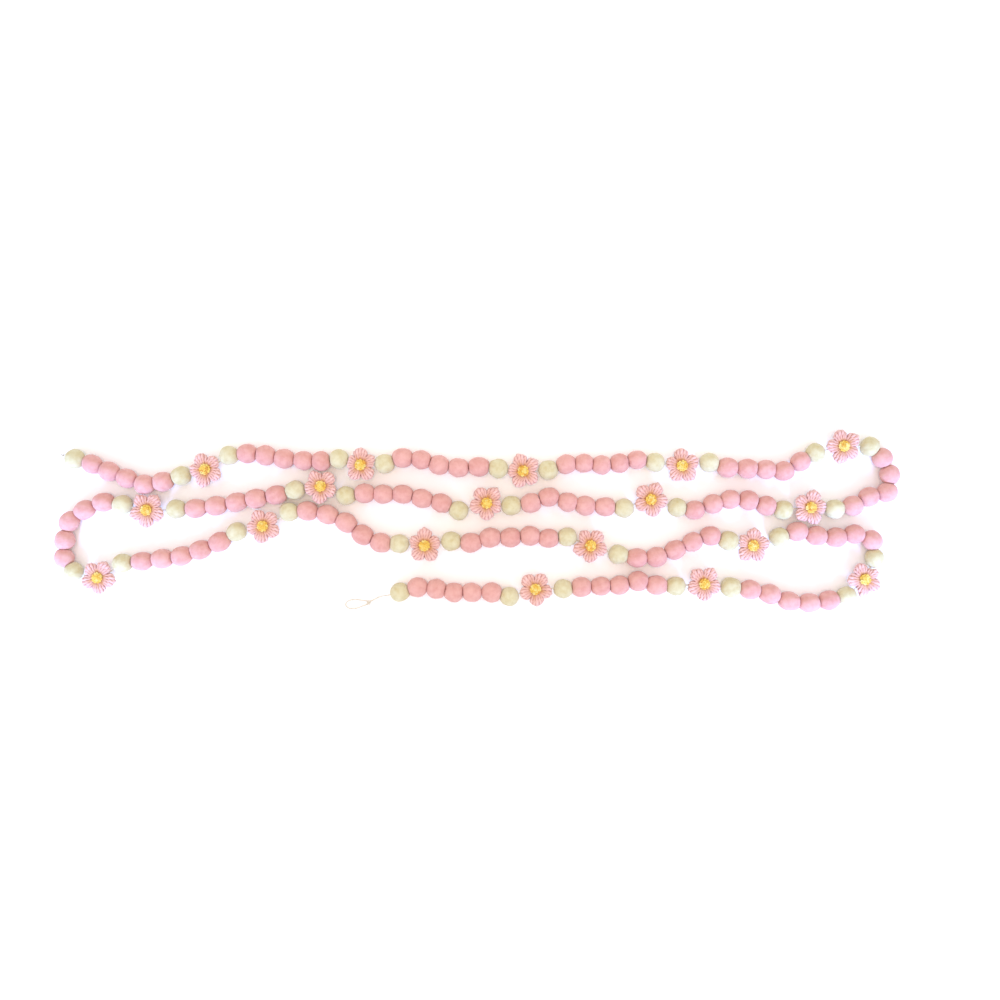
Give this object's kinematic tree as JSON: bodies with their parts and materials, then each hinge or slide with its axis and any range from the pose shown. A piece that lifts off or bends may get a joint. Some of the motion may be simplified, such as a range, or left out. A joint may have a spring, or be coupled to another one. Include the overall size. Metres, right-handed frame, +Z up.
{
  "type": "felt ball garland",
  "caption": "Long garland of pink and cream felted wool balls on a string with pink yarn flowers between the runs, lying flat in four passes.",
  "frame": {"origin": "on the supporting surface, under the middle of the lying garland's bounding box", "axes": "+X along the four passes, to the right in the picture; +Y across the passes, up in the picture; +Z up from the surface"},
  "size_m": [0.9564, 0.2078, 0.0227],
  "materials": {
    "pink_felt": "matt felted wool",
    "cream_felt": "matt felted wool",
    "petal_yarn": "matt yarn",
    "eye_yarn": "matt yarn",
    "cotton_string": "matt twisted cotton"
  },
  "bodies": {
    "root": {"pink_run_01": "pink_felt", "pink_run_02": "pink_felt", "pink_run_03": "pink_felt", "pink_run_04": "pink_felt", "pink_run_05": "pink_felt", "pink_run_06": "pink_felt", "pink_run_07": "pink_felt", "pink_run_08": "pink_felt", "pink_run_09": "pink_felt", "pink_run_10": "pink_felt", "pink_run_11": "pink_felt", "pink_run_12": "pink_felt", "pink_run_13": "pink_felt", "pink_run_14": "pink_felt", "pink_run_15": "pink_felt", "pink_run_16": "pink_felt", "pink_run_17": "pink_felt", "pink_run_18": "pink_felt", "pink_run_19": "pink_felt", "cream_pair_01": "cream_felt", "cream_pair_02": "cream_felt", "cream_pair_03": "cream_felt", "cream_pair_04": "cream_felt", "cream_pair_05": "cream_felt", "cream_pair_06": "cream_felt", "cream_pair_07": "cream_felt", "cream_pair_08": "cream_felt", "cream_pair_09": "cream_felt", "cream_pair_10": "cream_felt", "cream_pair_11": "cream_felt", "cream_pair_12": "cream_felt", "cream_pair_13": "cream_felt", "cream_pair_14": "cream_felt", "cream_pair_15": "cream_felt", "cream_pair_16": "cream_felt", "cream_pair_17": "cream_felt", "cream_pair_18": "cream_felt", "cream_start": "cream_felt", "cream_end": "cream_felt", "flower_01": "petal_yarn", "flower_02": "petal_yarn", "flower_03": "petal_yarn", "flower_04": "petal_yarn", "flower_05": "petal_yarn", "flower_06": "petal_yarn", "flower_07": "petal_yarn", "flower_08": "petal_yarn", "flower_09": "petal_yarn", "flower_10": "petal_yarn", "flower_11": "petal_yarn", "flower_12": "petal_yarn", "flower_13": "petal_yarn", "flower_14": "petal_yarn", "flower_15": "petal_yarn", "flower_16": "petal_yarn", "flower_17": "petal_yarn", "flower_18": "petal_yarn", "string_knot": "cotton_string", "string_tail": "cotton_string"}
  },
  "joints": []
}
